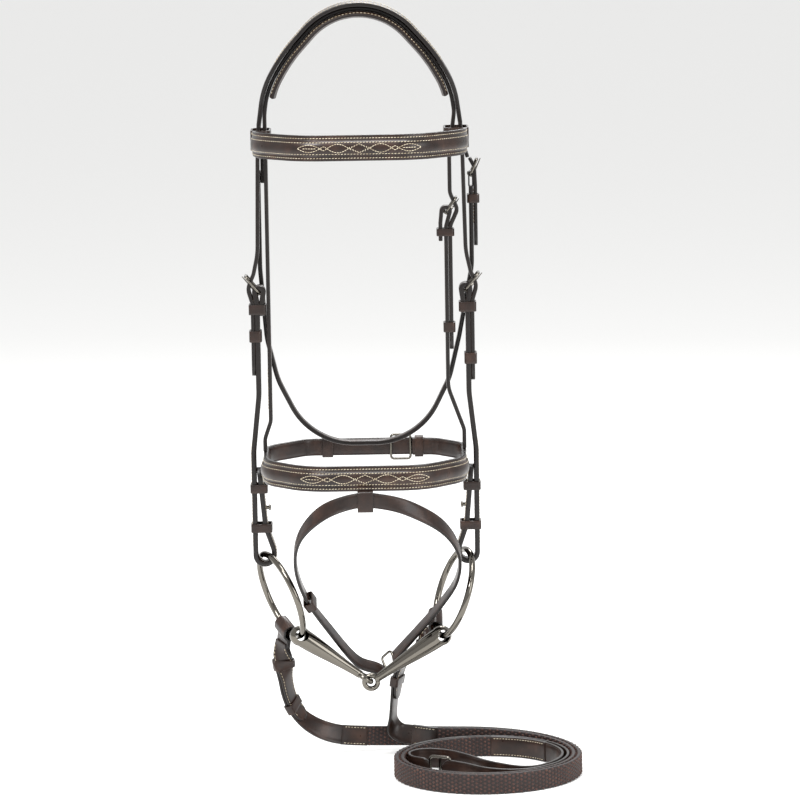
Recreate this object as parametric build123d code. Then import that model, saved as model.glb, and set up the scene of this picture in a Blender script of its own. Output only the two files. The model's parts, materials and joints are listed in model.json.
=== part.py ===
from build123d import *
import os
from math import cos, sin, radians, sqrt

# A snaffle bridle, hung from its headpiece as on a tack-room bracket.
# Millimetres. The origin is the poll seat, the lowest point under the middle of the headpiece.
# +Z is up, +X is the horse's near (left) side and -Y is the way the horse faces.

# ---- driving dimensions ----
strap_t = 3.4             # folded and stitched cheek leather
billet_t = 3.0            # single leather of billets and tails
cheek_w = 12.7            # half-inch cheekpieces and billets
slip_w = 10.0             # sliphead and its noseband hangers
throat_w = 10.0
throat_y = 17.0           # throatlash straps run this far behind the cheekpieces
throat_x = 88.0
off_throat_x = 81.5
throat_pivot = -126.0
pad_t = 5.2
headpiece_w = 38.0
headpiece_y = 6.0         # middle of the headpiece's width
wall = 1.6                # leather of keepers and runners
gap = 0.35                # clearance between pieces that move past each other
splice_x = 78.0           # off split, where the throatlash is sewn to its outside
cheek_x = 84.0            # half-distance between the cheekpieces at the buckles
cheek_buckle_z = -216.4
lower_x = 89.1            # outer leg of a cheekpiece beside the bit ring

brow_z = -95.6
brow_h = 20.0
brow_t = 5.0
brow_front = -92.0
nose_z = -355.0
nose_h = 20.0
nose_t = 5.0
nose_x = 79.8             # half-width of the noseband to the middle of its leather
nose_front = -84.0
chin_back = 74.0
chin_h = 14.0
chin_t = 3.4

wire_r = 2.6              # bit ring wire
ring_r = 36.0             # ring radius to the middle of its wire
ring_x = 69.5
ring_z = -463.0
ring_tilt = 19.8          # rings lean in at the bottom
ring_yaw = {-1: 23.0, 1: 15.0}   # and turn, both the same way, the off one more
eye_turn = 12.0           # cannon's place on its ring, forward of the lowest point
rein_turn = -36.0         # rein's place on its ring
cannon_len = 68.6
cannon_ball = 8.2
eye_r = 4.1
link_r = 5.4              # centre links of the mouthpiece
link_wire = 2.1

flash_w = 12.0
flash_t = 3.0
rein_w = 16.0
rein_t = 4.0
floor_z = -606.0
coil_x = 94.0
coil_y = -25.0
coil_a = 76.0
coil_b = 72.0
coil_layers = 4

side_name = {-1: "off", 1: "near"}
os.makedirs("parts", exist_ok=True)
made = {}


def save(node, shape):
    """Keep one named piece and write its STEP file."""
    made[node] = shape
    export_step(shape, f"parts/{node}.step")


def run_xz(points, radii, y, width, thickness, side=1):
    """A strap that bends in a plane across the horse: width along Y, route given as (x, z)."""
    path = FilletPolyline(*[(side * x, y, z) for x, z in points], radius=radii)
    section = Plane(origin=path @ 0, x_dir=(0, 1, 0), z_dir=path % 0) * Rectangle(width, thickness)
    return sweep(section, path=path)


def run_xy(points, radii, z, height, thickness, side=1):
    """A band that stands on edge: height along Z, route given as (x, y)."""
    path = FilletPolyline(*[(side * x, y, z) for x, y in points], radius=radii)
    section = Plane(origin=path @ 0, x_dir=(0, 0, 1), z_dir=path % 0) * Rectangle(height, thickness)
    return sweep(section, path=path)


def arch(outward, end=0.0):
    """Right half of the crown arch, moved outward; end adds a last point that far past the shoulder."""
    d = outward
    corners = [(20.9 + 0.445 * d, d), (52.0 + 0.813 * d, -34.6 + 0.591 * d),
               (65.5 + 0.963 * d, -58.0 + 0.332 * d)]
    if end:
        x, z = corners[-1]
        corners.append((x + 0.139 * end, z - 0.990 * end))
    return corners


def arch_radii(outward):
    """Bend radii at the arch's three corners."""
    return [47.0 + outward, 110.0 + outward, 58.0 + outward]


def mirrored(points):
    """A route over the crown: the given right half and its mirror image."""
    return [(-x, z) for x, z in reversed(points)] + list(points)


def twisted(stations, width, thickness, first=None):
    """A strap that turns as it goes: ruled between sections at (point, width direction)."""
    faces = []
    for i, (point, across) in enumerate(stations):
        before = Vector(*stations[max(i - 1, 0)][0])
        after = Vector(*stations[min(i + 1, len(stations) - 1)][0])
        along = (after - before).normalized()
        if first is not None and i == 0:
            along = first
        wide = Vector(*across)
        wide = (wide - along * wide.dot(along)).normalized()
        faces.append(Plane(origin=point, x_dir=wide, z_dir=along) * Rectangle(width, thickness))
    return loft(faces, ruled=True)


def loop_box(centre, inner, height, thickness=wall):
    """A keeper: a rectangular leather loop round an upright strap; inner is its (x, y) room."""
    outer = Box(inner[0] + 2 * thickness, inner[1] + 2 * thickness, height)
    return Pos(*centre) * (outer - Box(inner[0], inner[1], height + 2))


def buckle(bar, far, width, rod=2.2):
    """A flat rectangular buckle frame with its bar along Y; far is the frame's other end."""
    bar, far = Vector(*bar), Vector(*far)
    along = (far - bar).normalized()
    length = (far - bar).length
    lie = Plane(origin=(bar + far) * 0.5, x_dir=along, z_dir=along.cross(Vector(0, 1, 0)))
    frame = Box(length + rod, width + 2 * rod, rod) - Box(length - rod, width, rod + 2)
    return lie * frame


def tongue(bar, far, reach=1.5):
    """The buckle's tongue: a round prong from just off the bar to past the frame's far end."""
    bar, far = Vector(*bar), Vector(*far)
    along = (far - bar).normalized()
    over = along.cross(Vector(0, 1, 0)).normalized()
    if over.X * bar.X < 0:
        over = over * -1
    start = bar + over * (1.1 + gap + 1.0)
    lie = Plane(origin=start, x_dir=(0, 1, 0), z_dir=along)
    length = (far - bar).length + reach
    return lie * Pos(0, 0, length / 2) * Cylinder(1.0, length)


# ---- headpiece ----
pad_mid = pad_t / 2
pad_end = -62.0
pad_radii = arch_radii(pad_mid)
pad = run_xz(mirrored(arch(pad_mid, 26.0)), pad_radii[::-1] + pad_radii, headpiece_y, headpiece_w + 8, pad_t)
save("headpiece_pad", pad - Pos(0, 0, pad_end - 30.0) * Box(200, 100, 60))

slip_mid = pad_t + gap + billet_t / 2
head_mid = pad_t + 2 * gap + billet_t + strap_t / 2
billet_in = cheek_x + strap_t / 2 + gap + billet_t / 2     # billet lying outside its cheekpiece
head_radii = arch_radii(head_mid)
head_route = arch(head_mid, 30.0)
split = head_route[-1]
crown = run_xz(mirrored(head_route), head_radii[::-1] + head_radii, headpiece_y, headpiece_w, strap_t)


def cheek_billet(side, tip_z):
    """From the split, down through the buckle and outside the cheekpiece to its tip."""
    strip = run_xz([split, (split[0] + 1.4, -112.0), (82.8, -186.0), (86.4, -202.5), (91.2, -213.8),
                    (billet_in, -226.0), (billet_in, tip_z)], [40, 60, 12, 10, 5],
                   0.0, cheek_w, billet_t, side)
    slot = Pos(side * 90.0, 0, cheek_buckle_z + 4.5) * Box(16, 3.4, 21)
    return strip - slot


def throat_split(side):
    """The headpiece's rear split: to the throatlash buckle on the near side, sewn to it on the off side."""
    route = [split, (split[0] + 0.8, -97.0), (85.6, -113.0)]
    if side > 0:
        return run_xz(route, [30], throat_y, throat_w, billet_t, side)
    return run_xz(route[:2] + [(splice_x, -110.0), (splice_x, throat_pivot - throat_w / 2)], [30, 20],
                  throat_y, throat_w, billet_t, side)


tips = {-1: -284.0, 1: -290.0}
headpiece = crown
for side in (-1, 1):
    headpiece = headpiece + cheek_billet(side, tips[side]) + throat_split(side)
save("headpiece_strap", headpiece)

# ---- sliphead: runs under the headpiece and carries the noseband ----
off_hang = 74.9
near_hang = 67.4
near_billet = near_hang + billet_t + gap
fold_z = -312.0
slip_turn = 3.1
slip_half = 3.75
slip_radii = arch_radii(slip_mid)
slip_crown = arch(slip_mid, 20.0)
sliphead = run_xz([(-off_hang, fold_z), (-off_hang, -115.0)] + mirrored(slip_crown)
                  + [(near_billet, -108.0), (near_billet, -140.0), (near_billet + 6.0, -153.0),
                     (near_billet, -166.0), (near_billet, -265.0)],
                  [40, 40] + slip_radii[::-1] + slip_radii + [20, 30, 12, 6, 12], 0.0, slip_w, billet_t)
slip_bar = (near_hang + 0.6, 0, -154.2)
slip_far = (near_hang + 8.4, 0, -143.4)
sliphead = sliphead - Pos(near_billet + 3.5, 0, -148.5) * Box(14, 3.0, 17)
save("sliphead", sliphead)

tab_end = nose_z + nose_h / 2
save("off_hanger_tab", run_xz([(off_hang, fold_z), (off_hang, fold_z - 9.0), (nose_x, tab_end + 10.0),
                               (nose_x, tab_end)], [10, 10], 0.0, slip_w, billet_t, -1))
hang_fold = run_xz([(near_hang - 4.4, -178.0), (near_hang - 4.4, -164.0),
                    (slip_bar[0] - slip_half, slip_bar[2] + slip_turn),
                    (slip_bar[0] + slip_half, slip_bar[2] + slip_turn), (near_hang, -167.0),
                    (near_hang, -296.0), (nose_x, -330.0), (nose_x, tab_end)],
                   [6, slip_turn, slip_turn, 10, 30, 14], 0.0, slip_w, billet_t)
save("near_hanger", hang_fold - Pos(slip_bar[0] + 4.5, 0, slip_bar[2] + 2.5) * Box(9, 3.0, 11))
save("sliphead_buckle", buckle(slip_bar, slip_far, slip_w + 1.5, 1.8))
save("sliphead_tongue", tongue(slip_bar, slip_far, 0.2))
slip_stack = (near_hang - billet_t / 2, near_billet + billet_t / 2)
slip_mid_x = sum(slip_stack) / 2
slip_room = slip_stack[1] - slip_stack[0] + 2 * gap
save("sliphead_keeper", loop_box((slip_mid_x - 2.2, 0, -171.0), (slip_room + 4.6, slip_w + 2 * gap), 6.0))
save("sliphead_runner", loop_box((slip_mid_x, 0, -247.0), (slip_room, slip_w + 2 * gap), 8.0))

# ---- browband ----
brow_x = 84.0
brow_end = -9.6
save("browband", run_xy([(brow_x, brow_end), (brow_x - 1.4, -52.0), (46.0, brow_front), (-46.0, brow_front),
                         (-brow_x + 1.4, -52.0), (-brow_x, brow_end)], [50, 42, 42, 50],
                        brow_z, brow_h, brow_t))
loop_inner = {-1: 72.0, 1: 68.0}
loop_outer = 85.0
for side in (-1, 1):
    mid = side * (loop_inner[side] + loop_outer) / 2
    save(f"{side_name[side]}_browband_loop",
         loop_box((mid, 7.5, brow_z), (loop_outer - loop_inner[side], 31.0), brow_h - 4, 1.5))

# ---- cheekpieces ----
fold_x = 82.4
fold_turn = 3.3
fold_half = 4.0
return_x = cheek_x - strap_t - 0.2
wire_top = Vector(ring_x + ring_r * sin(radians(ring_tilt)), 0,
                  ring_z + ring_r * cos(radians(ring_tilt)))
turn_r = lower_x - wire_top.X
inner_x = wire_top.X - turn_r
turn_z = wire_top.Z - turn_r
runner_z = {-1: -252.0, 1: -272.0}
for side in (-1, 1):
    name = side_name[side]
    cheek = run_xz([(return_x, -236.0), (return_x, -227.0), (fold_x - fold_half, cheek_buckle_z + fold_turn),
                    (fold_x + fold_half, cheek_buckle_z + fold_turn), (cheek_x, -227.0),
                    (cheek_x, -300.0), (lower_x, -345.0), (lower_x, turn_z), (inner_x, turn_z),
                    (inner_x, -425.0), (lower_x - 8.3, -406.0), (lower_x - 4.0, -358.0)],
                   [8, fold_turn, fold_turn, 8, 60, 50, turn_r - 0.02, turn_r - 0.02, 12, 20],
                   0.0, cheek_w, strap_t, side)
    bar = (side * fold_x, 0, cheek_buckle_z)
    far = (side * (fold_x + 10.4), 0, cheek_buckle_z + 12.6)
    save(f"{name}_cheekpiece", cheek - Pos(side * (fold_x + 4.5), 0, cheek_buckle_z + 1.0) * Box(9, 3.4, 16))
    save(f"{name}_cheek_buckle", buckle(bar, far, cheek_w + 1.8, 1.9))
    save(f"{name}_cheek_tongue", tongue(bar, far))
    outside = billet_in + billet_t / 2 + gap
    lower_outside = lower_x + strap_t / 2 + gap
    keepers = [((return_x - strap_t / 2 - 2 * gap, outside), -230.5, 8.0),
               ((79.6, lower_outside), -375.0, 7.0), ((76.5, lower_outside), -407.0, 7.0)]
    save(f"{name}_cheek_keepers", Compound(
        [loop_box((side * sum(room) / 2, 0, z), (room[1] - room[0], cheek_w + 2 * gap), height)
         for room, z, height in keepers]))
    run = (cheek_x - strap_t / 2 - gap, outside)
    save(f"{name}_cheek_runner", loop_box((side * sum(run) / 2, 0, runner_z[side]),
                                          (run[1] - run[0], cheek_w + 2 * gap), 9.0))
    save(f"{name}_hook_stud", Pos(side * (lower_x - 11.4), 0, -391.0) * Rot(0, 90, 0) * Cylinder(2.6, 3.6))

# ---- noseband ----
save("noseband", run_xy([(nose_x, 12.0), (nose_x, -46.0), (46.0, nose_front), (-46.0, nose_front),
                         (-nose_x, -46.0), (-nose_x, 12.0)], [42, 42, 42, 42], nose_z, nose_h, nose_t))
outer_y = chin_back + chin_t + gap
save("off_chin_strap", run_xy([(-nose_x, 12.0), (-nose_x, 45.0), (-48.0, outer_y), (55.0, outer_y)],
                              [34, 16], nose_z, chin_h, chin_t))
save("near_chin_strap", run_xy([(nose_x, 12.0), (nose_x, 46.0), (57.0, chin_back), (38.5, chin_back)],
                               [26, 14], nose_z, chin_h, chin_t))
chin_buckle_x = 29.0
chin_frame = Box(18, 2.0, chin_h + 8) - Box(13.6, 4, chin_h + 3.4)
save("chin_buckle", Pos(chin_buckle_x, chin_back, nose_z) * chin_frame)
save("chin_tongue", Pos(chin_buckle_x - 0.5, outer_y + chin_t / 2 + gap + 1.0, nose_z)
     * Rot(0, 90, 0) * Cylinder(1.0, 17.0))


def flat_loop(x, y, room_y, length):
    """A keeper round a strap that runs along X and stands on edge."""
    room_z = chin_h + 2 * gap
    return Pos(x, y, nose_z) * (Box(length, room_y + 2 * wall, room_z + 2 * wall)
                                - Box(length + 2, room_y, room_z))


save("chin_keeper", flat_loop(44.0, (chin_back + outer_y) / 2, outer_y - chin_back + chin_t + 2 * gap, 7.0))
save("chin_runner", flat_loop(-31.0, outer_y, chin_t + 2 * gap + 0.4, 9.0))

# ---- flash: a loop under the noseband's front and the strap it carries ----
flash_z = nose_z - nose_h / 2 - 8.0
loop_room = (5.4, 13.6)
save("flash_loop", Pos(0, nose_front, flash_z) * (Box(12.3, loop_room[0] + 2 * wall, 16.0)
                                                  - Box(14, loop_room[0], loop_room[1])))
flash_stations = [
    ((25.0, 12.0, -513.0), (0, 0.8, 0.6)),
    ((42.0, 1.0, -492.0), (0, 0.9, 0.5)),
    ((60.0, -14.0, -468.0), (0, 1.0, 0.35)),
    ((72.0, -32.0, -445.0), (0, 1.0, 0.25)),
    ((73.0, -50.0, -420.0), (0, 0.95, 0.5)),
    ((60.0, -68.0, -397.0), (0, 0.6, 0.8)),
    ((34.0, -80.0, -380.0), (0, 0.2, 1.0)),
    ((10.0, nose_front, flash_z), (0, 0, 1)),
    ((-10.0, nose_front, flash_z), (0, 0, 1)),
    ((-34.0, -78.0, -383.0), (0, 0.3, 1.0)),
    ((-52.0, -62.0, -404.0), (0, 0.8, 0.6)),
    ((-56.5, -44.0, -430.0), (0, 1.0, 0.25)),
    ((-49.0, -24.0, -460.0), (0, 1.0, 0.3)),
    ((-30.0, -4.0, -492.0), (0, 0.9, 0.5)),
    ((-10.0, 12.0, -520.0), (0, 0.8, 0.6)),
    ((6.0, 17.0, -528.0), (0, 0.8, 0.6)),
]
save("flash_strap", twisted(flash_stations, flash_w, flash_t))
flash_lie = Plane(origin=(16.5, 16.0, -522.5), x_dir=(0.68, -0.33, 0.65), z_dir=(0.62, 0.62, -0.33))
keeper_at = Plane(origin=(-46.0, -20.8, -465.0), x_dir=(0, 1.0, 0.55), z_dir=(0.46, 0.47, -0.75))
save("flash_keeper", keeper_at * (Box(flash_w + 2 * gap + 2 * wall + 1.0, flash_t + 2 * wall + 3.0, 8.0)
                                  - Box(flash_w + 2 * gap + 1.0, flash_t + 3.0, 10.0)))
save("flash_buckle", flash_lie * (Box(13.0, flash_w + 5, 2.2) - Box(8.6, flash_w + 1, 4)))

# ---- throatlash: swings from its near buckle and from where its off end is sewn on ----
throat_top = -136.0
throat_half = [(throat_x, throat_top), (throat_x, -200.0), (77.2, -256.0), (69.0, -290.0),
               (53.0, -322.0), (28.0, -342.0)]
off_half = [(off_throat_x, throat_top), (off_throat_x, -200.0)] + throat_half[2:]
lash = run_xz(throat_half + [(-x, z) for x, z in reversed(off_half)],
              [60, 55, 60, 55, 55, 55, 55, 60, 55, 60], throat_y, throat_w, strap_t)
# The off end is rounded about the swing's axis, so that it turns in place.
off_end = (Pos(-off_throat_x, throat_y, (throat_top + throat_pivot) / 2) * Box(strap_t, throat_w, throat_pivot - throat_top)
           + Pos(-off_throat_x, throat_y, throat_pivot) * Rot(0, 90, 0) * Cylinder(throat_w / 2, strap_t))
save("throatlash_strap", lash + off_end)
block_h = throat_pivot - 1.2 - throat_top - 0.05
tail_x = throat_x + strap_t / 2 + gap + billet_t / 2
bar = (throat_x, throat_y, throat_pivot)
far = (throat_x + 5.0, throat_y, throat_pivot + 11.5)
save("near_throatlash_buckle", buckle(bar, far, throat_w + 1.5, 2.0)
     + Pos(throat_x, throat_y, throat_top + 0.05 + block_h / 2) * Box(strap_t, throat_w, block_h)
     - Pos(throat_x + 2.1, throat_y, throat_pivot - 2.5) * Box(3, 3.2, 6))
save("near_throatlash_tongue", tongue(bar, far))
save("near_throatlash_tail", Pos(tail_x, throat_y, -161.0) * Box(billet_t, throat_w, 46.0))
room = (throat_x - strap_t / 2 - gap, tail_x + billet_t / 2 + gap)
save("near_throatlash_keeper",
     loop_box((sum(room) / 2, throat_y, -146.0), (room[1] - room[0], throat_w + 2 * gap), 7.0))

# ---- bit: two loose rings and a single-jointed mouthpiece ----
def ring_frame(side):
    """Centre of a bit ring, the direction to its top and the direction to its front."""
    centre = Vector(side * ring_x, 0, ring_z)
    top = Vector(side * sin(radians(ring_tilt)), 0, cos(radians(ring_tilt)))
    front = Vector(sin(radians(ring_yaw[side])), -cos(radians(ring_yaw[side])), 0)
    front = (front - top * front.dot(top)).normalized()
    return centre, top, front


def on_ring(side, turn):
    """Point on the ring wire and its direction there, turned forward from the lowest point."""
    centre, top, front = ring_frame(side)
    c, s = cos(radians(turn)), sin(radians(turn))
    return centre + (front * s - top * c) * ring_r, front * c + top * s


holes = {side: on_ring(side, eye_turn)[0] for side in (-1, 1)}
middle = (holes[-1] + holes[1]) * 0.5
half_span = (holes[1] - holes[-1]).length / 2
joint = middle + Vector(0, 0, -sqrt(cannon_len ** 2 - half_span ** 2))
for side in (-1, 1):
    name = side_name[side]
    centre, top, front = ring_frame(side)
    save(f"{name}_ring", Plane(origin=centre, x_dir=top, z_dir=top.cross(front)) * Torus(ring_r, wire_r))
    hole, wire = on_ring(side, eye_turn)
    inward = (joint - hole).normalized()
    level = Vector(0, 1, 0)
    # The near link is centred on the joint; the off link's far side passes through its middle.
    to_link = cannon_len if side > 0 else cannon_len - link_r
    turn_axis = level if side > 0 else inward.cross(level)
    stem = Plane(origin=hole, x_dir=level, z_dir=inward)
    taper_len = to_link - link_r - 3.0
    bar = stem * Pos(0, 0, 3.0 + taper_len / 2) * Cone(7.6, 3.4, taper_len)
    ball = Pos(*hole) * Sphere(cannon_ball)
    bore = Plane(origin=hole, z_dir=wire)
    room = bore * (Cylinder(eye_r, 40) + Pos(0, 0, 7.5) * Cone(eye_r - 0.3, 7.4, 9.0)
                   + Pos(0, 0, -7.5) * Cone(7.4, eye_r - 0.3, 9.0))
    link_plane = Plane(origin=hole + inward * to_link, x_dir=inward, z_dir=turn_axis)
    open_eye = link_plane * Cylinder(link_r - link_wire, 30)
    save(f"{name}_cannon", (ball + bar) - room - open_eye + link_plane * Torus(link_r, link_wire))

# ---- reins: stitched loops on the rings, hanging leads, the laid coil and the centre buckle ----
coil_depth = coil_layers * rein_t + 2.5
rein_room = 1.4           # slack between a rein's loop and the ring wire


def rein_loop(side):
    """The end of a rein, folded round the ring wire, and where the hanging strap leaves it."""
    place, wire = on_ring(side, rein_turn)
    down = Vector(0, 0.25, -1)
    down = (down - wire * down.dot(wire)).normalized()
    lie = Plane(origin=place, x_dir=wire.cross(down), z_dir=wire)
    outer = lie * Cylinder(wire_r + rein_room + rein_t / 2, rein_w)
    inner = lie * Cylinder(wire_r + rein_room, rein_w + 2)
    start = place + down * (wire_r + rein_room)
    stem = Plane(origin=start, x_dir=wire, z_dir=down) * Pos(0, 0, 6.5) * Box(rein_w, rein_t, 13)
    return (outer + stem) - inner, start + down * 13.02, wire, down


on_edge = floor_z + rein_w / 2
leads = {
    -1: [((-67.0, 33.0, -536.0), (0.5, 1, 0.2)), ((-54.0, 40.0, -562.0), (0.3, 0.8, 0.5)),
         ((-30.0, 48.0, -582.0), (0.2, 0.4, 0.9)), ((0.0, 53.0, on_edge + 5.0), (0, 0, 1)),
         ((34.0, 53.5, on_edge + 4.0), (0, 0, 1)), ((62.0, 43.9, on_edge), (0, 0, 1))],
    1: [((47.0, 33.0, -527.0), (0.6, 0.8, 0.2)), ((34.0, 44.0, -551.0), (0.8, 0.6, 0.1)),
        ((24.0, 46.0, -571.0), (0.6, 0.2, 0.8)), ((24.0, 42.0, on_edge + 6.0), (0.2, 0, 1)),
        ((37.0, 29.0, on_edge + 1.0), (0, 0, 1))],
}
for side in (-1, 1):
    loop, start, wire, down = rein_loop(side)
    name = side_name[side]
    save(f"{name}_rein_loop", loop)
    route = [(tuple(start), tuple(wire))] + leads[side]
    save(f"{name}_rein_lead", twisted(route, rein_w, rein_t, down))

coil_at = Pos(coil_x, coil_y, on_edge)
coil_out = coil_at * extrude(Ellipse(coil_a, coil_b), rein_w / 2, both=True)
coil_in = coil_at * extrude(Ellipse(coil_a - coil_depth, coil_b - coil_depth), rein_w, both=True)
save("rein_coil", coil_out - coil_in)
save("rein_buckle", Pos(56.0, -44.0, on_edge + 1.0) * Rot(0, 0, -25)
     * (Box(20, 2.4, rein_w + 2) - Box(15, 4, rein_w - 2) + Box(2.4, 2.4, rein_w + 2)))

axis = (holes[1] - holes[-1]).normalized()
print("mouthpiece axis", [round(v, 5) for v in axis], "at", [round(v, 3) for v in middle])
print("joint", [round(v, 2) for v in joint])
for side in (-1, 1):
    centre, top, front = ring_frame(side)
    print("ring", side_name[side], [round(v, 3) for v in centre], [round(v, 5) for v in top.cross(front)])
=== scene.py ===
import json
from math import radians, sin, cos, tan, pi, sqrt

import bpy
import numpy as np
from mathutils import Vector, Matrix

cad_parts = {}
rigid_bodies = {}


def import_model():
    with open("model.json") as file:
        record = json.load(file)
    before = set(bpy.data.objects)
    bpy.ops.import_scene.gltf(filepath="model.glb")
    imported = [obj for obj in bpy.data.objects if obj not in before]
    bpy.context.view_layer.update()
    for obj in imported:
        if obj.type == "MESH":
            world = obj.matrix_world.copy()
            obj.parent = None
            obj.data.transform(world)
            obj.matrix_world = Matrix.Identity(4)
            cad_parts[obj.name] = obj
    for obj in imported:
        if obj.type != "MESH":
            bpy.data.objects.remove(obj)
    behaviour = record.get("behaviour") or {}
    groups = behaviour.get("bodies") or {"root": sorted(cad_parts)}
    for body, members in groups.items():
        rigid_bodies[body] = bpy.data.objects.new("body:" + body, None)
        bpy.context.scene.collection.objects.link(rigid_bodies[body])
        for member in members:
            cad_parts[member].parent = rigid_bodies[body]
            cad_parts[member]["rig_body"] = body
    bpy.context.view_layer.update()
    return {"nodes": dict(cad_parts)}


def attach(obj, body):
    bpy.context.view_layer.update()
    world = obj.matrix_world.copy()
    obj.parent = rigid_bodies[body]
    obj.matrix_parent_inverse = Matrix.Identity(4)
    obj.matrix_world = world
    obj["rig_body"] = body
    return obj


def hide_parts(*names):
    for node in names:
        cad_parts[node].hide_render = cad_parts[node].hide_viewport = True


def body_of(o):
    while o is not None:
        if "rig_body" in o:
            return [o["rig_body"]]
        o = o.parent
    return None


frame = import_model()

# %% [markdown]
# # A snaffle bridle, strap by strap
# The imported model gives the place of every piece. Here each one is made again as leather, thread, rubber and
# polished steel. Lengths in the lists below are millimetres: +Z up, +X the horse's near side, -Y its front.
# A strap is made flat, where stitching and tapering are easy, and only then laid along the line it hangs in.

MM = 0.001
SIDES = {-1: "off", 1: "near"}
nodes = frame["nodes"]
print(len(nodes), "nodes in the packed model")


def select(*objs):
    """Select only these objects; the last one is active."""
    bpy.ops.object.select_all(action="DESELECT")
    for obj in objs:
        obj.select_set(True)
        bpy.context.view_layer.objects.active = obj


def primitive(kind, name, **settings):
    """A mesh primitive at the origin, by name."""
    bpy.ops.object.select_all(action="DESELECT")
    getattr(bpy.ops.mesh, f"primitive_{kind}_add")(**settings)
    obj = bpy.context.object
    obj.name = name
    return obj


def bake(obj, kind, **settings):
    """Add one modifier and apply it."""
    select(obj)
    mod = obj.modifiers.new(kind.title(), kind)
    for key, value in settings.items():
        setattr(mod, key, value)
    bpy.ops.object.modifier_apply(modifier=mod.name)
    return obj


def coords(obj):
    """All vertex positions as rows."""
    flat = np.empty(len(obj.data.vertices) * 3)
    obj.data.vertices.foreach_get("co", flat)
    return flat.reshape(-1, 3)


def move_to(obj, rows):
    """Set all vertex positions."""
    obj.data.vertices.foreach_set("co", np.ascontiguousarray(rows, dtype=float).ravel())
    obj.data.update()
    return obj


def merge(name, parts):
    """Join several meshes into one piece."""
    select(*parts)
    bpy.ops.object.join()
    bpy.context.object.name = name
    return bpy.context.object


def smooth(obj, angle=35):
    """Smooth shading, with edges sharper than the angle kept."""
    select(obj)
    bpy.ops.object.shade_smooth_by_angle(angle=radians(angle))
    return obj


def weld(obj, gap=0.0):
    """Merge points that lie closer than the gap, then turn all faces outward."""
    select(obj)
    bpy.ops.object.mode_set(mode="EDIT")
    bpy.ops.mesh.select_all(action="SELECT")
    if gap:
        bpy.ops.mesh.remove_doubles(threshold=gap)
    bpy.ops.mesh.normals_make_consistent(inside=False)
    bpy.ops.object.mode_set(mode="OBJECT")
    return obj


def add(name, data):
    """A new object for some data, linked to the scene."""
    obj = bpy.data.objects.new(name, data)
    bpy.context.collection.objects.link(obj)
    return obj


# %% [markdown]
# ## Sizes that several pieces share
# A strap's place depends on the strap it lies against, so the levels, the widths and the bit's sizes are
# named here once. Sizes that only one piece uses stay beside that piece.

# %% Shared sizes in millimetres
STOUT, LIGHT = 3.4, 3.0                 # thickness of the outer and of the inner straps
SLIM, CHEEK_WIDE = 10.0, 12.7           # width of the sliphead and throatlash, and of the cheekpieces
BAND_WIDE, CHIN_WIDE, REIN_WIDE = 20.0, 14.0, 16.0
POLL_Y, THROAT_Y = 6.0, 17.0            # how far back the crown's middle and the throatlash hang
BROW_Z, NOSE_Z = -95.6, -355.0          # height of both bands' middles below the poll
FACE_X = 79.8                           # half the width of the noseband
RING_R, WIRE = 36.0, 2.6                # bit ring, to the middle of its wire, and the wire's radius
RING_X, RING_Z = 69.5, -463.0
RING_TILT = radians(19.8)
RING_YAW = {-1: radians(23.0), 1: radians(15.0)}
EYE_TURN = 12.0                         # the cannon's place on its ring: degrees forward of the lowest point
CANNON, LINK_R = 68.6, 5.4              # a cannon from ring to joint, and the radius of its link
print("bit ring", 2 * (RING_R + WIRE), "mm across, wire", 2 * WIRE, "mm")


# %% [markdown]
# ## Lines that straps follow
# A strap's line is a few corners with a bend radius at each, as a saddler turns leather round a form.
# At each point it also needs the direction of its width. The third direction, out of the leather's face, is
# along x width, so the width's sign decides which face shows. A curve object with a flat bevel could do this
# too, but it twists at sharp folds. One class that keeps all three directions does not.

# %% Route: a line with a width direction
class Route:
    """Points along a strap with its along, across and out directions, looked up by distance."""

    def __init__(self, line, across):
        line = [Vector(p) for p in line]
        kept = [line[0]]
        for p in line[1:]:
            if (p - kept[-1]).length > 0.12:
                kept.append(p)
        self.at = np.array([tuple(p) for p in kept])
        gaps = np.linalg.norm(np.diff(self.at, axis=0), axis=1)
        self.s = np.concatenate([[0.0], np.cumsum(gaps)])
        self.length = float(self.s[-1])
        steps = np.diff(self.at, axis=0) / gaps[:, None]
        along = np.vstack([steps[:1], steps[:-1] + steps[1:], steps[-1:]])
        self.along = along / np.linalg.norm(along, axis=1)[:, None]
        if callable(across):
            wide = np.array([across(s / self.length) for s in self.s])
        else:
            wide = np.tile(np.array(across, dtype=float), (len(self.s), 1))
        wide = wide - self.along * np.sum(wide * self.along, axis=1)[:, None]
        self.wide = wide / np.linalg.norm(wide, axis=1)[:, None]
        self.out = np.cross(self.along, self.wide)

    def lay(self, rows):
        """Carry flat points (along, across, out) to their place on the line."""
        s = rows[:, 0]
        inside = np.clip(s, 0.0, self.length)

        def there(table):
            return np.stack([np.interp(inside, self.s, table[:, k]) for k in range(3)], axis=1)

        place = there(self.at) + there(self.along) * (s - inside)[:, None]
        return place + there(self.wide) * rows[:, 1:2] + there(self.out) * rows[:, 2:3]


def bend(corners, radii, step=1.6):
    """Corners joined by straight runs and round bends of the given radii."""
    corners = [Vector(c) for c in corners]
    line = [corners[0]]
    for before, corner, after, r in zip(corners, corners[1:], corners[2:], radii):
        a, b = (before - corner).normalized(), (after - corner).normalized()
        half = a.angle(b) / 2
        if half > pi / 2 - 0.01:
            line.append(corner)
            continue
        centre = corner + (a + b).normalized() * (r / sin(half))
        u, v = corner + a * (r / tan(half)) - centre, corner + b * (r / tan(half)) - centre
        turn = u.angle(v)
        count = max(4, int(r * turn / step) + 1)
        line += [centre + (u * sin((1 - i / count) * turn) + v * sin(i / count * turn)) / sin(turn)
                 for i in range(count + 1)]
    line.append(corners[-1])
    return line


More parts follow.
